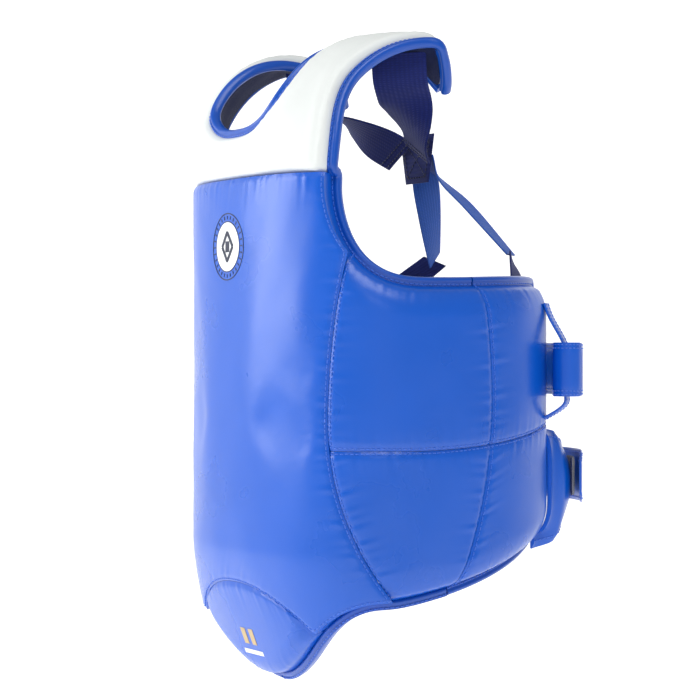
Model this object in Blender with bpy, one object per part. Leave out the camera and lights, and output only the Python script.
"""Martial arts chest protector: foam panels in PU covers on a textile lining, a white shoulder yoke,
bound edges, crossed back webbing and two closure straps.

Metres. -Y is the front, +X the wearer's left, +Z up. The origin is the middle of the shoulder line.
"""

from math import ceil, cos, pi, radians, sin

import bmesh
import bpy
import numpy as np

# ---- Driving dimensions -------------------------------------------------------------------------

# Outline of the torso seen from above, as four superellipse quarters
HALF_WIDTH = 0.172
FRONT_DEPTH = 0.129
REAR_DEPTH = 0.196
FRONT_FULLNESS = 2.6
REAR_FULLNESS = 2.1

# Heights below the shoulder line
YOKE_SEAM_Z = -0.133
ARM_CORNER_Z = -0.195
WING_TOP_Z = -0.225
CROSS_SEAM_Z = -0.379
CROSS_SEAM_RISE = 0.025
WING_HEM_Z = -0.520
WING_HEM_RISE = 0.046
TIP_DROP = 0.085
BELLY_SEAM_Z = -0.504
BELLY_SEAM_DROP = 0.048

# Places round the girth, measured from the centre front
ARM_EDGE_S = 0.1405
WING_TOP_S = 0.235
FRONT_SEAM_S = 0.137
SIDE_SEAM_S = 0.302
REAR_EDGE_S = 0.430
TIP_HALF_S = 0.190
BELLY_HALF_S = 0.122
TIP_CELL_HALF = 0.103

# Layers
PAD = 0.026
YOKE_PAD = 0.016
EDGE = 0.009
COVER = 0.0012
LINING = 0.001
GAP = 0.0005
SEAM_GAP = 0.0012
RIM = 0.0025
SHOULDER_LINE = 0.016
BINDING_GAP = 0.0019
FOAM_CLEAR = 0.0013
SHOULDER_FOAM_CLEAR = 0.0040
SHOULDER_FOAM_GAP = 0.0014
HINGE_GAP = 0.0016
PAD_ROUND = 0.030
YOKE_ROUND = 0.016

# Edge binding
BINDING_WIDTH = 0.009
BINDING_THICK = 0.010

# Neck opening and shoulder arms
NECK_HALF_WIDTH = 0.070
NECK_DEPTH = 0.058
NECK_CENTRE_Z = -0.028
NECK_FULLNESS = 2.5
ARM_OUTER_X = 0.120
SHOULDER_END = 2.50
SHOULDER_END_ROUND = 0.34
SHOULDER_REACH = 0.10
SHOULDER_JOIN = 0.0055

# A shoulder's arch by the neck and by the arm: centre y and z, height and reach behind the centre
ARCH_START = 0.052
ARCH_SPAN = 0.074
ARCH_BY_NECK = (-0.042, -0.074, 0.071, 0.122)
ARCH_BY_ARM = (0.024, -0.157, 0.158, 0.044)

# Webbing
BAND_WIDTH = 0.050
BAND_THICK = 0.0020
CROSS_WIDTH = 0.026
CROSS_THICK = 0.0016
JUNCTION = (0.0, 0.0750, -0.106)
BAND_START = (0.090, 0.001, -0.043)
PATCH_SIZE = (0.062, 0.046)
PATCH_THICK = 0.0016
LAYER_STEP = 0.0062
SEWN_CLEAR = 0.0035
GUSSET_S = 0.406
GUSSET_BASE = 0.042
GUSSET_THICK = 0.0016
GUSSET_APEX = (0.068, 0.138, -0.2005)
GUSSET_GAP = 0.0012

# Which way each strap's width lies, at even steps along it
BAND_MEET = 0.020
BAND_TURNS = ((0.48, 0.87, 0.05), (0.52, 0.84, 0.05), (0.80, 0.45, -0.25), (0.86, 0, -0.42), (0.86, 0, -0.46))
BAND_FALLS = (0, 0.25, 0.50, 0.78, 1)
CROSS_TURNS = ((0.95, 0, 0.30), (0.80, -0.60, 0.0), (0.20, -0.80, -0.40), (-0.41, -0.59, -0.69))

# Closure, placed by girth from the centre front, on round the back and by height
BAIL_S = 0.398
BAIL_TOP_Z = -0.247
BAIL_BOTTOM_Z = -0.358
BAIL_WIDTH = 0.016
BAIL_THICK = 0.0024
BAIL_STAND = 0.0200
LOOP_RADIUS = 0.0125
STRAP_WIDTH = 0.050
STRAP_THICK = 0.0022
UPPER_STRAP_Z = -0.308
LOWER_STRAP_Z = -0.410
LAND_LENGTH = 0.048
LAND_S = 0.388
STRAP_CLEAR = 0.0048
BACK_STAND = 0.009
TAIL_END_S = 0.520
FLAP_ROOT_S = 0.404
FLAP_END_S = 0.486
FLAP_ROOT_HEIGHT = 0.112
FLAP_THICK = 0.0040
FLAP_STAND = 0.017
FLAP_Z = -0.420
LOWER_END_S = 0.432
LOWER_END_STAND = 0.027
JOINT_CUT = 0.0008

# Each hinge's empty: a point on the joint's upright axis, and the hinge that carries it
HINGES = {
    "left_wing_hinge": ((0.1694, 0.0385, -0.370), None),
    "right_wing_hinge": ((-0.1694, 0.0385, -0.370), None),
    "upper_strap_hinge": ((0.1410, 0.1514, -0.308), "left_wing_hinge"),
    "tail_hinge": ((0.1505, 0.1595, -0.308), "upper_strap_hinge"),
    "lower_strap_hinge": ((-0.1244, 0.1453, -0.410), "right_wing_hinge"),
}
WING_PARTS = ("lower_cover", "lower_foam", "upper_cover", "upper_foam", "lining", "binding")

# Front marks
BADGE_Z = -0.195
BADGE_RADIUS = 0.031
DISC_RADIUS = 0.0225
EMBLEM_Z = -0.560
EMBLEM_WIDTH = 0.030
EMBLEM_HEIGHT = 0.024
MARK_THICK = 0.0010

SIDES = {"left": 1, "right": -1}

# How finely the panels are divided
FRONT_COLUMNS = 12
FRONT_ROWS = 7
CELL_COLUMNS = 4
CELL_ROWS = 3
YOKE_ROWS = 26
BINDING_STEP = 0.013


# ---- Small helpers ------------------------------------------------------------------------------

def smooth(t):
    t = np.clip(t, 0.0, 1.0)
    return t * t * (3.0 - 2.0 * t)


def unit(v):
    return v / np.maximum(np.linalg.norm(v, axis=-1, keepdims=True), 1e-12)


def offset_path(path, distance):
    """A 2-D path moved sideways, to the left of its own direction."""
    along = unit(np.gradient(path, axis=0))
    return path + distance * np.stack([-along[:, 1], along[:, 0]], axis=1)


def spread(length, ends, middle, far_ends=None):
    """Positions 0 to 1 along a length: a thin rim and a rounded shoulder at each end, even between."""
    near = np.array([0.0, *ends]) / length
    far = 1.0 - np.array([0.0, *(far_ends or ends)])[::-1] / length
    inner = np.linspace(near[-1], far[0], middle + 1)
    return np.concatenate([near[:-1], inner, far[1:]])


MATERIALS = {
    "blue_pu": ((0.012, 0.085, 0.42), 0.32),
    "white_pu": ((0.80, 0.82, 0.84), 0.38),
    "foam": ((0.20, 0.21, 0.24), 0.90),
    "navy_lining": ((0.008, 0.016, 0.085), 0.80),
    "navy_webbing": ((0.010, 0.030, 0.17), 0.75),
    "blue_webbing": ((0.020, 0.13, 0.52), 0.65),
    "hook_loop": ((0.010, 0.020, 0.11), 0.95),
    "white_print": ((0.85, 0.86, 0.88), 0.45),
    "silver_print": ((0.62, 0.60, 0.50), 0.35),
}


def material(name):
    found = bpy.data.materials.get(name)
    if found:
        return found
    colour, roughness = MATERIALS[name]
    made = bpy.data.materials.new(name)
    made.use_nodes = True
    shader = made.node_tree.nodes["Principled BSDF"]
    shader.inputs["Base Color"].default_value = (*colour, 1.0)
    shader.inputs["Roughness"].default_value = roughness
    shader.inputs["Metallic"].default_value = 0.0
    made.diffuse_color = (*colour, 1.0)
    return made


def add_object(name, points, faces, slot):
    """One closed body, turned to face out."""
    mesh = bpy.data.meshes.new(name)
    mesh.from_pydata(np.asarray(points).tolist(), [], faces)
    body = bmesh.new()
    body.from_mesh(mesh)
    bmesh.ops.recalc_face_normals(body, faces=body.faces)
    if body.calc_volume(signed=True) < 0:
        bmesh.ops.reverse_faces(body, faces=body.faces)
    body.to_mesh(mesh)
    body.free()
    mesh.shade_smooth()
    mesh.set_sharp_from_angle(angle=radians(40))
    mesh.materials.append(material(slot))
    made = bpy.data.objects.new(name, mesh)
    bpy.context.scene.collection.objects.link(made)
    return made


def layer(name, outer, inner, slot):
    """A closed slab between two matching grids of points."""
    rows, columns = outer.shape[:2]
    index = np.arange(rows * columns).reshape(rows, columns)
    low, high = (index[:-1, :-1], index[1:, 1:])
    halves = ((low, index[1:, :-1], high), (low, high, index[:-1, 1:]))
    skin = np.concatenate([np.stack(half, axis=-1).reshape(-1, 3) for half in halves])
    ring = np.concatenate([index[0, :-1], index[:-1, -1], index[-1, :0:-1], index[:0:-1, 0]])
    after = np.roll(ring, -1)
    count = rows * columns
    walls = np.stack([ring, ring + count, after + count, after], axis=1)
    faces = skin.tolist() + (skin[:, ::-1] + count).tolist() + walls.tolist()
    points = np.concatenate([outer.reshape(-1, 3), inner.reshape(-1, 3)])
    return add_object(name, points, faces, slot)


def sweep(name, centres, across, over, half_across, half_over, slot, sides=8):
    """A rounded bar along a path, wide along `across` and thick along `over`, with flat ends."""
    turn = (np.arange(sides) + 0.5) * 2 * pi / sides
    fat = 1.0 / cos(pi / sides)
    wide = np.cos(turn)[None, :, None] * fat * np.reshape(half_across, (-1, 1, 1))
    thick = np.sin(turn)[None, :, None] * fat * np.reshape(half_over, (-1, 1, 1))
    rings = centres[:, None, :] + wide * across[:, None, :] + thick * over[:, None, :]
    count = len(centres)
    index = np.arange(count * sides).reshape(count, sides)
    after = np.roll(index, -1, axis=1)
    quads = np.stack([index[:-1], after[:-1], after[1:], index[1:]], axis=-1).reshape(-1, 4).tolist()
    faces = quads + [index[0].tolist(), index[-1, ::-1].tolist()]
    return add_object(name, rings.reshape(-1, 3), faces, slot)


def ribbon(name, centres, across, widths, thick, slot):
    """A flat strap along a path, its width along `across`."""
    centres = np.asarray(centres, float)
    across = unit(np.asarray(across, float))
    over = unit(np.cross(np.gradient(centres, axis=0), across))
    half = np.broadcast_to(np.asarray(widths, float) / 2, (len(centres),))[:, None, None]
    edge = np.array([-1.0, 1.0])[None, :, None]
    flat = centres[:, None, :] + edge * half * across[:, None, :]
    lift = (thick / 2) * over[:, None, :]
    return layer(name, flat + lift, flat - lift, slot)


def curve_through(points, count):
    """A smooth curve through chosen points, by cubic Hermite pieces of equal parameter."""
    points = np.asarray(points, float)
    slope = np.gradient(points, axis=0)
    where = np.linspace(0, len(points) - 1, count)
    start = np.minimum(where.astype(int), len(points) - 2)
    t = (where - start)[:, None]
    a, b = points[start], points[start + 1]
    da, db = slope[start], slope[start + 1]
    return (
        (2 * t**3 - 3 * t**2 + 1) * a
        + (t**3 - 2 * t**2 + t) * da
        + (3 * t**2 - 2 * t**3) * b
        + (t**3 - t**2) * db
    )


# ---- Torso surface ------------------------------------------------------------------------------

def plan_table():
    """Half of the outline from the centre front to the centre back, by arc length."""
    turn = np.linspace(0, pi / 2, 1500)
    x = HALF_WIDTH * np.sin(turn) ** (2 / FRONT_FULLNESS)
    y = -FRONT_DEPTH * np.cos(turn) ** (2 / FRONT_FULLNESS)
    rear_x = HALF_WIDTH * np.cos(turn) ** (2 / REAR_FULLNESS)
    rear_y = REAR_DEPTH * np.sin(turn) ** (2 / REAR_FULLNESS)
    x = np.concatenate([x, rear_x[1:]])
    y = np.concatenate([y, rear_y[1:]])
    steps = np.hypot(np.diff(x), np.diff(y))
    return np.concatenate([[0.0], np.cumsum(steps)]), x, y


GIRTH, PLAN_X, PLAN_Y = plan_table()


def front_y(x):
    """Outline depth on the front half, at a distance x from the middle."""
    share = np.clip(np.abs(x) / HALF_WIDTH, 0, 1) ** FRONT_FULLNESS
    return -FRONT_DEPTH * (1 - share) ** (1 / FRONT_FULLNESS)


def arch(x):
    """The shape of a shoulder's fore-and-aft slice: two quarter ellipses.

    Returns the arch's centre y and z, its height above the centre, and its reach behind the centre. They
    change smoothly from the neck's side to the arm's.
    """
    across = smooth((np.abs(x) - ARCH_START) / ARCH_SPAN)
    return tuple(near + (far - near) * across for near, far in zip(ARCH_BY_NECK, ARCH_BY_ARM))


def lean_back(x, z):
    """How far the chest leans back as it nears the shoulder."""
    centre_y, centre_z, rise, _ = arch(x)
    up = np.clip((z - centre_z) / rise, 0, 0.999)
    return (centre_y - front_y(x)) * (1 - np.sqrt(1 - up * up))


def torso_raw(s, z):
    s, z = np.broadcast_arrays(np.asarray(s, float), np.asarray(z, float))
    side = np.where(s < 0, -1.0, 1.0)
    x = side * np.interp(np.abs(s), GIRTH, PLAN_X)
    y = np.interp(np.abs(s), GIRTH, PLAN_Y)
    y = y + np.where(y < 0, lean_back(x, z), 0.0)
    below = np.clip(-0.470 - z, 0, None)
    towards_front = smooth(1.25 - np.abs(s) / 0.20)
    y = y + 0.85 * below**1.5 * towards_front
    return np.stack([x, y, z], axis=-1)


def torso(s, z, depth=0.0):
    """A point on the torso, `depth` inside its outer face, and the outward normal there."""
    step = 1e-4
    along = torso_raw(s + step, z) - torso_raw(s - step, z)
    up = torso_raw(s, z + step) - torso_raw(s, z - step)
    normal = unit(np.cross(along, up))
    return torso_raw(s, z) - np.asarray(depth)[..., None] * normal, normal


# ---- Seams and edges of the torso, in girth and height ------------------------------------------

def front_seam(z):
    down = z - (CROSS_SEAM_Z + 0.024)
    return FRONT_SEAM_S + np.where(down > 0, 0.83, 2.40) * down**2


def side_seam(z):
    down = z - (CROSS_SEAM_Z + 0.044)
    return SIDE_SEAM_S - np.where(down > 0, 1.00, 1.45) * down**2


def cross_seam(s):
    s = np.abs(s)
    back = np.clip((s - 0.22) / (REAR_EDGE_S - 0.22), 0, None)
    return CROSS_SEAM_Z + CROSS_SEAM_RISE * back**1.8


def hem(s):
    s = np.abs(s)
    tip = 0.5 + 0.5 * np.cos(pi * np.clip(s / TIP_HALF_S, 0, 1))
    back = np.clip((s - TIP_HALF_S) / 0.204, 0, None)
    return WING_HEM_Z - TIP_DROP * tip + WING_HEM_RISE * back**1.4


def belly_seam(s):
    share = np.clip(np.abs(s) / BELLY_HALF_S, 0, 1.2)
    return BELLY_SEAM_Z - BELLY_SEAM_DROP * share**2.2


ARM_FULLNESS = 2.4


def armhole_path(count=241):
    """The armhole's lower front corner and the wing's top edge, from the yoke seam to the rear edge."""
    turn = np.linspace(0, pi / 2, count // 2)
    width = WING_TOP_S - ARM_EDGE_S
    height = YOKE_SEAM_Z + 0.003 - WING_TOP_Z
    s = WING_TOP_S - width * np.cos(turn) ** (2 / ARM_FULLNESS)
    z = YOKE_SEAM_Z + 0.003 - height * np.sin(turn) ** (2 / ARM_FULLNESS)
    flat = np.linspace(WING_TOP_S, REAR_EDGE_S, count - count // 2 + 1)[1:]
    rise = 0.004 * smooth((flat - WING_TOP_S) / 0.17)
    return np.stack([np.append(s, flat), np.append(z, WING_TOP_Z + rise)], axis=1)


def hem_path(start, end, count):
    s = np.linspace(start, end, count)
    return np.stack([s, hem(s)], axis=1)


BOUND = BINDING_WIDTH + BINDING_GAP
ARM_INNER = offset_path(armhole_path(), -BOUND)
HEM_INNER = offset_path(hem_path(-0.02, REAR_EDGE_S, 240), BOUND)


def wing_top(s):
    return np.interp(np.abs(s), ARM_INNER[:, 0], ARM_INNER[:, 1])


def arm_edge(z):
    order = np.argsort(ARM_INNER[:, 1])
    return np.interp(z, ARM_INNER[order, 1], ARM_INNER[order, 0])


def hem_top(s):
    return np.interp(np.abs(s), HEM_INNER[:, 0], HEM_INNER[:, 1])


# ---- Padded cells -------------------------------------------------------------------------------

def cell_points(left, right, bottom, top, us, vs):
    """Girth and height on a grid whose sides are the four given curves."""
    u, v = np.meshgrid(us, vs, indexing="ij")
    z = np.full_like(u, (CROSS_SEAM_Z + WING_TOP_Z) / 2)
    for _ in range(40):
        low, high = left(z), right(z)
        s = low + (high - low) * u
        floor, roof = bottom(s), top(s)
        z = 0.5 * z + 0.5 * (floor + (roof - floor) * v)
    return s, z


def border_distance(base):
    """Distance of each grid point to the nearest of the two borders, across and along."""
    across = np.linalg.norm(np.diff(base, axis=0), axis=2)
    along = np.linalg.norm(np.diff(base, axis=1), axis=2)
    i = np.concatenate([np.zeros((1, base.shape[1])), np.cumsum(across, axis=0)])
    j = np.concatenate([np.zeros((base.shape[0], 1)), np.cumsum(along, axis=1)], axis=1)
    return np.minimum(i, i[-1] - i), np.minimum(j, j[:, -1:] - j)


def dome(base, pad, edge_round):
    """Pad thickness on the grid: full in the middle, pinched to the edge thickness at the borders."""
    rise = 1.0
    for distance in border_distance(base):
        share = 1 - np.clip(distance / edge_round, 0, 1)
        rise = rise * np.sqrt(1 - share**2.2)
    return EDGE + (pad - EDGE) * rise


def padded_cell(name, base, normal, pad, edge_round, clear=FOAM_CLEAR, gap=GAP):
    """A cover whose rim closes down on the lining, and the two faces of the foam inside it."""
    thick = dome(base, pad, edge_round)
    face = pad - thick
    back = pad - LINING - GAP
    inside = face + COVER
    inside[[0, -1], :] = back
    inside[:, [0, -1]] = back
    place = placer(base, normal)
    layer(f"{name}_cover", place(face), place(inside), "white_pu" if name == "yoke" else "blue_pu")
    return shrink_border(place(face + COVER + gap), clear), shrink_border(place(back + 0 * face), clear)


def placer(base, normal):
    return lambda depth: base - depth[..., None] * normal


def without_rims(grid):
    """The grid less the lines next to its borders."""
    rows = np.r_[0, 2 : grid.shape[0] - 2, grid.shape[0] - 1]
    columns = np.r_[0, 2 : grid.shape[1] - 2, grid.shape[1] - 1]
    return grid[rows][:, columns]


def lining(name, base, normal, pad):
    place = placer(base, normal)
    flat = np.ones(base.shape[:2])
    layer(name, place((pad - LINING) * flat), place(pad * flat), "navy_lining")


def draw_in(grid, end, distance):
    """Moves the first (0) or last (-1) row of a grid towards its neighbour."""
    inner = 1 if end == 0 else -2
    grid[end] += distance * unit(grid[inner] - grid[end])


def shrink_border(grid, clear):
    """Drops the outermost ring and draws the next one a clearance inwards."""
    grid = grid[1:-1, 1:-1].copy()
    for view in (grid, grid.swapaxes(0, 1)):
        draw_in(view, 0, clear)
        draw_in(view, -1, clear)
    return grid


def mirrored(side, *grids):
    return [grid * np.array([side, 1.0, 1.0]) for grid in grids]


# ---- Front, tip, sides and wings ----------------------------------------------------------------

def front_half_width(z):
    """Half girth of the front panel: the armhole edge above its corner, the front seam below."""
    return np.minimum(front_seam(z) - SEAM_GAP / 2, np.where(z > ARM_CORNER_Z - 0.02, arm_edge(z), 1.0))


def front_bottom(s):
    return np.maximum(belly_seam(s) + SEAM_GAP / 2, hem_top(s))


def build_front():
    width = 2 * FRONT_SEAM_S
    us = spread(width, (RIM, SHOULDER_LINE), FRONT_COLUMNS)
    beside_arm = (RIM, *np.linspace(SHOULDER_LINE, YOKE_SEAM_Z - ARM_CORNER_Z + 0.012, 5))
    vs = spread(YOKE_SEAM_Z - BELLY_SEAM_Z, (RIM, SHOULDER_LINE), FRONT_ROWS, beside_arm)
    s, z = cell_points(
        lambda z: -front_half_width(z),
        front_half_width,
        front_bottom,
        lambda s: np.full_like(s, YOKE_SEAM_Z - SEAM_GAP / 2),
        us,
        vs,
    )
    base, normal = torso(s, z)
    layer("front_foam", *padded_cell("front", base, normal, PAD, PAD_ROUND), "foam")
    lining("front_lining", without_rims(base), without_rims(normal), PAD)


def build_tip():
    half = TIP_CELL_HALF
    us = spread(2 * half, (RIM, SHOULDER_LINE), 6)
    vs = spread(0.09, (RIM, SHOULDER_LINE), 2)
    s, z = cell_points(
        lambda z: np.full_like(z, -half),
        lambda z: np.full_like(z, half),
        hem_top,
        lambda s: belly_seam(s) - SEAM_GAP / 2,
        us,
        vs,
    )
    base, normal = torso(s, z)
    layer("tip_foam", *padded_cell("tip", base, normal, PAD, PAD_ROUND), "foam")
    lining("tip_lining", without_rims(base), without_rims(normal), PAD)


def build_cells(side_name, side):
    """Two quilted cells ahead of the side seam and two behind it, each pair on one lining."""
    half = HINGE_GAP / 2
    columns = (
        ("side", lambda z: front_seam(z) + SEAM_GAP / 2, lambda z: side_seam(z) - half, 0.15),
        ("wing", lambda z: side_seam(z) + half, lambda z: np.full_like(z, REAR_EDGE_S - BOUND), 0.12),
    )
    rows = (
        ("lower", hem_top, lambda s: cross_seam(s) - SEAM_GAP / 2),
        ("upper", lambda s: cross_seam(s) + SEAM_GAP / 2, wing_top),
    )
    for column, left, right, width in columns:
        us = spread(width, (RIM, SHOULDER_LINE), CELL_COLUMNS)
        vs = spread(0.145, (RIM, SHOULDER_LINE), CELL_ROWS)
        parts = []
        for row, bottom, top in rows:
            s, z = cell_points(left, right, bottom, top, us, vs)
            base, normal = mirrored(side, *torso(s, z))
            cell = f"{side_name}_{column}_{row}"
            layer(f"{cell}_foam", *padded_cell(cell, base, normal, PAD, PAD_ROUND), "foam")
            parts.append((without_rims(base), without_rims(normal)))
        base = np.concatenate([part[0] for part in parts], axis=1)
        normal = np.concatenate([part[1] for part in parts], axis=1)
        lining(f"{side_name}_{column}_lining", base, normal, PAD)


# ---- Yoke ---------------------------------------------------------------------------------------

def yoke_angle(x, z):
    _, centre_z, rise, _ = arch(x)
    up = (z - centre_z) / rise
    return np.where(up < 0, up, np.arcsin(np.clip(up, -1, 0.999)))


def yoke_raw(x, angle):
    """Upright below the arch's centre, then a quarter ellipse up to the crest and one down behind it."""
    centre_y, centre_z, rise, rear = arch(x)
    fore = centre_y - front_y(x)
    turn = np.clip(angle, 0, pi)
    reach = np.where(turn < pi / 2, fore, rear)
    y = centre_y - reach * np.cos(turn)
    z = centre_z + rise * np.where(angle < 0, angle, np.sin(turn))
    return np.stack([x, y, z], axis=-1)


def yoke(x, angle):
    step = 1e-4
    across = yoke_raw(x + step, angle) - yoke_raw(x - step, angle)
    along = yoke_raw(x, angle + step) - yoke_raw(x, angle - step)
    return yoke_raw(x, angle), unit(np.cross(across, along))


BIB_SHARE = 0.30
NECK_SHARE = 0.45


def yoke_neck(q, inset):
    """The neck opening's edge, from the middle of the bib to the shoulder's rear end."""
    turn = pi / 2 * np.clip(q / NECK_SHARE, 0, 1)
    x = (NECK_HALF_WIDTH + inset) * np.sin(turn) ** (2 / NECK_FULLNESS)
    z = NECK_CENTRE_Z - (NECK_DEPTH + inset) * np.cos(turn) ** (2 / NECK_FULLNESS)
    low = yoke_angle(x, z)
    start = yoke_angle(NECK_HALF_WIDTH + inset, NECK_CENTRE_Z)
    share = np.clip((q - NECK_SHARE) / (1 - NECK_SHARE), 0, 1)
    return x, np.where(q < NECK_SHARE, low, start + (SHOULDER_END - start) * share)


def yoke_outer(q, inset, seam_z):
    """The yoke seam from the middle to the armhole, then the armhole edge to the shoulder's rear end."""
    corner_x = np.interp(ARM_EDGE_S, GIRTH, PLAN_X) - inset
    share = np.clip((q - BIB_SHARE) / (1 - BIB_SHARE), 0, 1)
    x = np.where(
        q < BIB_SHARE,
        corner_x * q / BIB_SHARE,
        ARM_OUTER_X - inset + (corner_x + inset - ARM_OUTER_X) * (1 - smooth(share / 0.30)),
    )
    start = yoke_angle(corner_x, seam_z)
    angle = np.where(q < BIB_SHARE, yoke_angle(x, seam_z), start + (SHOULDER_END - start) * share)
    return x, angle


def yoke_grid(q, c, inset, seam_z, end_inset=0.0):
    """Points between the neck edge (c = 0) and the outer edge (c = 1), both drawn in by `inset`."""
    side = np.where(q < 0, -1.0, 1.0)
    near_x, near_angle = yoke_neck(np.abs(q), inset)
    far_x, far_angle = yoke_outer(np.abs(q), inset, seam_z)
    x = near_x + (far_x - near_x) * c
    angle = near_angle + (far_angle - near_angle) * c
    late = smooth((np.abs(q) - 0.78) / 0.22)
    middle = (NECK_HALF_WIDTH + ARM_OUTER_X) / 2
    x = x + (middle - x) * 0.22 * late**2
    angle = angle - late * (SHOULDER_END_ROUND * (2 * c - 1) ** 2 + (inset + end_inset) / SHOULDER_REACH)
    point, normal = yoke(x, angle)
    turn = np.stack([side, 1 + 0 * side, 1 + 0 * side], -1)
    return point * turn, normal * turn


def build_yoke():
    half = spread(0.60, (RIM, SHOULDER_LINE), YOKE_ROWS)
    q = 2 * half - 1
    c = spread(0.042, (RIM, 0.012), 2)
    grid_q, grid_c = np.meshgrid(q, c, indexing="ij")
    seam_z = YOKE_SEAM_Z + SEAM_GAP / 2
    base, normal = yoke_grid(grid_q, grid_c, BOUND + 2 * GAP, seam_z, SHOULDER_JOIN)
    gaps = (SHOULDER_FOAM_CLEAR, SHOULDER_FOAM_GAP)
    front, rear = padded_cell("yoke", base, normal, YOKE_PAD, YOKE_ROUND, *gaps)
    rows = front.shape[0]
    first = rows // 2 - 4
    blocks = (
        ("right_shoulder_foam", slice(0, first)),
        ("bib_foam", slice(first - 1, rows - first)),
        ("left_shoulder_foam", slice(rows - first - 1, rows)),
    )
    for name, part in blocks:
        pieces = (front[part].copy(), rear[part].copy())
        for piece in pieces:
            for end, cut in ((0, part.start), (-1, rows - part.stop)):
                if cut:
                    draw_in(piece, end, GAP)
        layer(name, *pieces, "foam")
    lining("yoke_lining", without_rims(base), without_rims(normal), YOKE_PAD)


# ---- Edge binding -------------------------------------------------------------------------------

def even(points, normals, spacing, rounds=3):
    """The same path with its corners eased, in even steps, and the surface normal along it."""
    both = np.concatenate([points, normals], axis=1)
    both = resample(both, 0.0025)
    for _ in range(rounds):
        both[1:-1] = (both[:-2] + 2 * both[1:-1] + both[2:]) / 4
    both = resample(both, spacing)
    return both[:, :3], unit(both[:, 3:])


def resample(rows, spacing):
    length = np.concatenate([[0.0], np.cumsum(np.linalg.norm(np.diff(rows[:, :3], axis=0), axis=1))])
    marks = np.linspace(0, length[-1], max(2, ceil(length[-1] / spacing) + 1))
    return np.stack([np.interp(marks, length, column) for column in rows.T], axis=1)


def bind(name, points, normals):
    """Binding tape folded over an edge, as one rounded bar along it."""
    points, normals = even(points, normals, BINDING_STEP)
    along = unit(np.gradient(points, axis=0))
    across = unit(np.cross(normals, along))
    over = np.cross(along, across)
    sweep(name, points, across, over, BINDING_WIDTH / 2, BINDING_THICK / 2, "blue_pu", sides=6)


def on_torso(path, side):
    """Points and normals half way through the edge, along a path of girth and height."""
    depth = PAD - EDGE / 2
    points, normals = torso(path[:, 0], path[:, 1], np.full(len(path), depth))
    return mirrored(side, points, normals)


def on_yoke(q, c, side):
    """The same along a path of the yoke, where c is 0 on the neck edge and 1 on the armhole edge."""
    q, c = np.broadcast_arrays(np.asarray(q, float), np.asarray(c, float))
    points, normals = yoke_grid(q, c, BINDING_WIDTH / 2, YOKE_SEAM_Z)
    return mirrored(side, points - (YOKE_PAD - EDGE / 2) * normals, normals)


def join(*pieces):
    return [np.concatenate(part) for part in zip(*pieces)]


def split_armhole():
    """The armhole and wing-top binding line, ahead of the side seam and behind it."""
    path = offset_path(armhole_path(), -BINDING_WIDTH / 2)
    return split_at_seam(path)


def split_at_seam(path):
    gap = HINGE_GAP / 2
    ahead = path[path[:, 0] < side_seam(path[:, 1]) - gap]
    behind = path[path[:, 0] > side_seam(path[:, 1]) + gap]
    return ahead, behind


def build_bindings():
    end_gap = SHOULDER_JOIN / (ARM_OUTER_X - NECK_HALF_WIDTH)
    q = np.linspace(0, 1, 120)
    neck_side = join(on_yoke(q, 0.0, 1), on_yoke(1.0, np.linspace(0, 0.5 - end_gap, 14)[1:], 1))
    flip = [part[:0:-1] * np.array([-1.0, 1.0, 1.0]) for part in neck_side]
    bind("neck_binding", *join(flip, neck_side))
    ahead, behind = split_armhole()
    hem_line = offset_path(hem_path(-0.02, REAR_EDGE_S, 300), BINDING_WIDTH / 2)
    hem_ahead, hem_behind = split_at_seam(hem_line)
    hem_ahead = hem_ahead[hem_ahead[:, 0] >= 0]
    inner_end = REAR_EDGE_S - BINDING_WIDTH / 2
    top = np.interp(inner_end, behind[:, 0], behind[:, 1])
    bottom = np.interp(inner_end, hem_behind[:, 0], hem_behind[:, 1])
    rear = np.stack([np.full(30, inner_end), np.linspace(top, bottom, 30)], axis=1)
    behind = behind[behind[:, 0] < inner_end]
    hem_behind = hem_behind[hem_behind[:, 0] < inner_end]
    wing = np.concatenate([behind, rear, hem_behind[::-1]])
    for side_name, side in SIDES.items():
        rise = np.linspace(1, BIB_SHARE + 0.004, 90)
        end = on_yoke(1.0, np.linspace(0.5 + end_gap, 1, 14)[:-1], side)
        arm = join(end, on_yoke(rise, 1.0, side), on_torso(ahead, side))
        bind(f"{side_name}_armhole_binding", *arm)
        bind(f"{side_name}_wing_binding", *on_torso(wing, side))
    left = on_torso(hem_ahead, 1)
    right = [part[:0:-1] * np.array([-1.0, 1.0, 1.0]) for part in left]
    bind("hem_binding", *join(right, left))


# ---- Webbing on the back ------------------------------------------------------------------------

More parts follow.
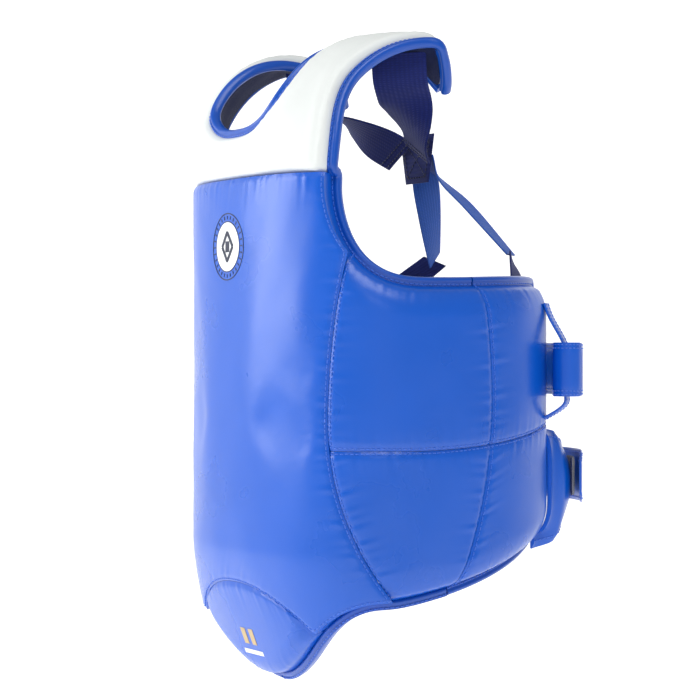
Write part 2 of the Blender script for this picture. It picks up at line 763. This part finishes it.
def build_back():
    start = np.array(BAND_START)
    junction = np.array(JUNCTION)
    for index, (side_name, side) in enumerate(SIDES.items()):
        depth = -LAYER_STEP * (2 - index)
        low = junction + (BAND_MEET, depth, 0.004)
        falls = np.array(BAND_FALLS)[:, None]
        path = curve_through(start + (low - start) * falls, 17)
        across = unit(curve_through(BAND_TURNS, 17))
        path, across = mirrored(side, path, across)
        ribbon(f"{side_name}_shoulder_band", path, across, BAND_WIDTH, BAND_THICK, "navy_webbing")
    width, height = PATCH_SIZE
    corners = np.array([(-width / 2, height / 2), (width / 2, height / 2), (width / 3, -height / 2)])
    corners = np.concatenate([corners, [(-width / 3, -height / 2)]])
    flat = np.array([[corners[3], corners[0]], [corners[2], corners[1]]])
    plate = np.stack([flat[..., 0], 0 * flat[..., 0], flat[..., 1]], axis=-1) + junction
    lift = np.array([0.0, PATCH_THICK / 2, 0.0])
    layer("back_patch", plate + lift, plate - lift, "navy_webbing")
    apex = np.array(GUSSET_APEX) + (0.0, 0.0, GUSSET_GAP)
    for index, (side_name, side) in enumerate(SIDES.items()):
        start = junction + (0.008, LAYER_STEP * (1 + index), 0.0)
        path = curve_through([start, start + (0.012, 0.010, -0.022), (start + apex) / 2, apex], 13)
        across = curve_through(CROSS_TURNS, 13)
        path, across = mirrored(side, path, unit(across))
        ribbon(f"{side_name}_cross_strap", path, across, CROSS_WIDTH, CROSS_THICK, "blue_webbing")


def build_gusset(side_name, side):
    """A folded webbing triangle sewn inside the wing's top edge, up to where the cross strap ends."""
    depth = PAD + SEWN_CLEAR + GUSSET_THICK / 2
    heights = np.array([WING_TOP_Z - 0.026, WING_TOP_Z - 0.012, WING_TOP_Z + 0.002])
    low, _ = torso(np.full(3, GUSSET_S), heights, np.full(3, depth))
    ahead, _ = torso(np.full(3, GUSSET_S - 0.01), heights, np.full(3, depth))
    flat = unit(low - ahead)
    centres = np.concatenate([low, [np.array(GUSSET_APEX)]])
    across = np.concatenate([flat, [(-0.39, 0.30, -0.20)]])
    widths = np.array([1.0, 1.0, 1.0, 0.62]) * GUSSET_BASE
    centres, across = mirrored(side, centres, across)
    ribbon(f"{side_name}_gusset", centres, across, widths, GUSSET_THICK, "navy_webbing")


# ---- Closure ------------------------------------------------------------------------------------

BACK_S = GIRTH[-1]


def around(s, z, stand, side=1):
    """A point that far outside the outline, where s may run on past the centre back."""
    s, z, stand = np.broadcast_arrays(*(np.asarray(v, float) for v in (s, z, stand)))
    past = s > BACK_S
    point, normal = torso(np.where(past, 2 * BACK_S - s, s), z)
    flip = np.where(past, -1.0, 1.0)[..., None] * np.array([1.0, 0, 0]) + np.array([0, 1.0, 1.0])
    return mirrored(side, (point + stand[..., None] * normal) * flip)[0]


def wing_dip(s, z):
    """How far the wing's padded face lies inside the outline."""
    roof = np.where(z > cross_seam(s), wing_top(s), cross_seam(s))
    floor = np.where(z > cross_seam(s), cross_seam(s), hem_top(s))
    rise = 1.0
    for distance in (REAR_EDGE_S - BOUND - s, np.minimum(roof - z, z - floor)):
        share = 1 - np.clip(distance / PAD_ROUND, 0, 1)
        rise = rise * np.sqrt(1 - share**2.2)
    return (PAD - EDGE) * (1 - rise)


def upright(count):
    return np.tile([0.0, 0.0, 1.0], (count, 1))


def build_bail():
    z = np.linspace(BAIL_TOP_Z, BAIL_BOTTOM_Z, 17)
    share = np.linspace(0, 1, 17)
    arch_out = smooth(share / 0.42) * smooth((1 - share) / 0.20)
    rest = BAIL_THICK / 2 + GAP - wing_dip(np.full(17, BAIL_S), z)
    centres = around(BAIL_S, z, rest + (BAIL_STAND - rest) * arch_out)
    across = around(BAIL_S + 0.002, z, 0.0) - around(BAIL_S, z, 0.0)
    ribbon("left_bail", centres, across, BAIL_WIDTH, BAIL_THICK, "blue_pu")


def drape_of(s):
    """How far the upper strap's middle stands off the outline, from the bail to the right wing."""
    stands = [BAIL_STAND - LOOP_RADIUS, BACK_STAND, STRAP_CLEAR]
    return np.interp(s, [BAIL_S, BACK_S, 2 * BACK_S - LAND_S], stands)


def build_upper_strap():
    """In through the bail, round it and back on itself, where the tail is held by hook and loop."""
    far_s = 2 * BACK_S - LAND_S + LAND_LENGTH / 2
    s = np.linspace(far_s, BAIL_S, 30)
    run = around(s, UPPER_STRAP_Z, drape_of(s))
    turn = np.linspace(0, pi * 0.97, 13)[1:]
    loop = around(
        BAIL_S - LOOP_RADIUS * np.sin(turn) * 0.9,
        UPPER_STRAP_Z,
        BAIL_STAND - LOOP_RADIUS * np.cos(turn),
    )
    path = np.concatenate([run, loop])
    ribbon("upper_strap", path, upright(len(path)), STRAP_WIDTH, STRAP_THICK, "blue_pu")
    s = np.linspace(BAIL_S + JOINT_CUT, TAIL_END_S, 14)
    close = 1 - smooth((s - BAIL_S) / 0.075)
    lift = STRAP_THICK + PATCH_THICK + 2 * GAP
    stand = drape_of(s) + lift + (2 * LOOP_RADIUS - lift) * close
    tail = around(s, UPPER_STRAP_Z, stand)
    ribbon("upper_strap_tail", tail, upright(len(tail)), STRAP_WIDTH * 0.98, STRAP_THICK, "blue_pu")
    s = np.linspace(TAIL_END_S - 0.036, TAIL_END_S - 0.004, 6)
    stand = drape_of(s) + STRAP_THICK / 2 + GAP + PATCH_THICK / 2 - GAP / 4
    patch = around(s, UPPER_STRAP_Z, stand)
    ribbon("upper_loop_patch", patch, upright(len(patch)), STRAP_WIDTH * 0.86, PATCH_THICK, "hook_loop")


def build_landing():
    """The loop patch on the right wing, under the end of the upper strap."""
    s = np.linspace(LAND_S - LAND_LENGTH / 2, LAND_S + LAND_LENGTH / 2, 7)
    z = UPPER_STRAP_Z + np.linspace(-0.45, 0.45, 5) * STRAP_WIDTH
    s, z = np.meshgrid(s, z, indexing="ij")
    stand = GAP - wing_dip(s, z)
    outer = around(s, z, stand + PATCH_THICK, -1)
    layer("right_landing_patch", outer, around(s, z, stand, -1), "hook_loop")


def build_lower_closure():
    """The tapered flap on the left wing, and the strap from the right wing that fastens over it."""
    s = np.linspace(FLAP_ROOT_S, FLAP_END_S, 9)
    across = np.linspace(-1, 1, 7)
    s, across = np.meshgrid(s, across, indexing="ij")
    share = (s - FLAP_ROOT_S) / (FLAP_END_S - FLAP_ROOT_S)
    height = FLAP_ROOT_HEIGHT + (STRAP_WIDTH * 0.94 - FLAP_ROOT_HEIGHT) * smooth(share)
    middle = FLAP_Z + (LOWER_STRAP_Z - FLAP_Z) * share
    z = middle + across * height / 2
    root = 1.5 * SEAM_GAP - wing_dip(np.minimum(s, REAR_EDGE_S - BOUND), z)
    bulge = FLAP_STAND * np.sin(pi * np.clip(share * 0.62 + 0.02, 0, 1)) * (1 - 0.45 * across**2)
    stand = root * (1 - smooth(share / 0.25)) + bulge * smooth(share / 0.30)
    stand = np.maximum(stand, root)
    layer("left_flap", around(s, z, stand + FLAP_THICK), around(s, z, stand), "blue_pu")

    def face(where):
        """How far the flap's outer face stands out along its middle line."""
        return np.interp(where, s[:, 3], (stand + FLAP_THICK)[:, 3])

    patch_s = np.linspace(LOWER_END_S + 0.006, FLAP_END_S - 0.003, 8)
    patch_stand = face(patch_s) + GAP + PATCH_THICK / 2
    patch = around(patch_s, LOWER_STRAP_Z, patch_stand)
    ribbon("left_hook_patch", patch, upright(8), STRAP_WIDTH * 0.72, PATCH_THICK, "hook_loop")
    root_s = 2 * BACK_S - FLAP_ROOT_S
    path_s = np.linspace(root_s, LOWER_END_S, 36)
    over = face(FLAP_END_S) + PATCH_THICK + GAP + STRAP_THICK / 2 + STRAP_CLEAR
    edge = 2 * BACK_S - REAR_EDGE_S
    lift = np.interp(
        path_s,
        [LOWER_END_S, LOWER_END_S + 0.03, FLAP_END_S, edge, root_s],
        [LOWER_END_STAND, face(LOWER_END_S + 0.03) + over - face(FLAP_END_S), over, 0.006, 0.0035],
    )
    widths = STRAP_WIDTH * np.sqrt(1 - 0.55 * smooth(1 - (path_s - LOWER_END_S) / 0.009))
    path = around(path_s, LOWER_STRAP_Z, lift)
    ribbon("lower_strap", path, upright(36), widths, STRAP_THICK, "blue_pu")


# ---- Front marks --------------------------------------------------------------------------------

def disc(name, radius, hole, z, stand, slot):
    """A thin round plate, or a ring where `hole` isn't zero, facing the front."""
    turn = np.arange(32) * 2 * pi / 32
    rim = np.stack([np.cos(turn), 0 * turn, np.sin(turn)], axis=1)
    centre = np.array([0.0, -FRONT_DEPTH - stand, z])
    thick = np.array([0.0, MARK_THICK, 0.0])
    if hole:
        outer = np.stack([centre + radius * rim, centre + hole * rim], axis=1)
        loop = np.concatenate([outer, outer[:1]])
        points = np.concatenate([loop[:-1].reshape(-1, 3), (loop[:-1] - thick).reshape(-1, 3)])
        index = np.arange(64).reshape(32, 2)
        after = np.roll(index, -1, axis=0)
        flat = np.stack([index[:, 0], after[:, 0], after[:, 1], index[:, 1]], axis=1)
        deep, after_deep = index + index.size, after + index.size
        outside, inside = (
            np.stack([index[:, k], after[:, k], after_deep[:, k], deep[:, k]], axis=1) for k in (0, 1)
        )
        faces = np.concatenate([flat[:, ::-1], flat + index.size, outside, inside[:, ::-1]]).tolist()
        return add_object(name, points, faces, slot)
    points = np.concatenate([centre + radius * rim, centre + radius * rim - thick])
    index = np.arange(32)
    walls = np.stack([index, np.roll(index, -1), np.roll(index, -1) + 32, index + 32], axis=1)
    faces = [index.tolist(), (index[::-1] + 32).tolist()] + walls[:, ::-1].tolist()
    return add_object(name, points, faces, slot)


def build_marks():
    disc("badge_ring", BADGE_RADIUS, DISC_RADIUS + GAP, BADGE_Z, GAP, "blue_pu")
    disc("badge_disc", DISC_RADIUS, 0, BADGE_Z, GAP, "white_print")
    across = np.linspace(-EMBLEM_WIDTH / 2, EMBLEM_WIDTH / 2, 5)
    down = EMBLEM_Z + np.linspace(-EMBLEM_HEIGHT / 2, EMBLEM_HEIGHT / 2, 5)
    s, z = np.meshgrid(across, down, indexing="ij")
    base, normal = torso(s, z)
    outer = base + (GAP + MARK_THICK) * normal
    layer("tip_mark", outer, base + GAP * normal, "silver_print")


# ---- Hinges -------------------------------------------------------------------------------------

def carried_by(hinge):
    """The pieces that turn with a hinge, and with no hinge further out."""
    if hinge == "upper_strap_hinge":
        return ["upper_strap", "upper_loop_patch"]
    if hinge == "tail_hinge":
        return ["upper_strap_tail"]
    if hinge == "lower_strap_hinge":
        return ["lower_strap"]
    side_name = hinge.split("_")[0]
    pieces = [f"{side_name}_wing_{part}" for part in WING_PARTS] + [f"{side_name}_gusset"]
    if side_name == "left":
        return [*pieces, "left_bail", "left_flap", "left_hook_patch"]
    return [*pieces, "right_landing_patch"]


def hang_on_hinges():
    """Puts an empty on each joint's axis and parents to it the pieces that turn there, where they are."""
    for hinge, (place, holder) in HINGES.items():
        empty = bpy.data.objects.new(hinge, None)
        bpy.context.scene.collection.objects.link(empty)
        empty.location = place
        if holder:
            empty.parent = bpy.data.objects[holder]
            empty.location = np.subtract(place, HINGES[holder][0])
        for name in carried_by(hinge):
            piece = bpy.data.objects[name]
            piece.parent = empty
            piece.location = -np.array(place)


def main():
    for old in list(bpy.data.objects):
        bpy.data.objects.remove(old)
    build_front()
    build_tip()
    for side_name, side in SIDES.items():
        build_cells(side_name, side)
        build_gusset(side_name, side)
    build_yoke()
    build_bindings()
    build_back()
    build_bail()
    build_upper_strap()
    build_landing()
    build_lower_closure()
    build_marks()
    hang_on_hinges()


main()
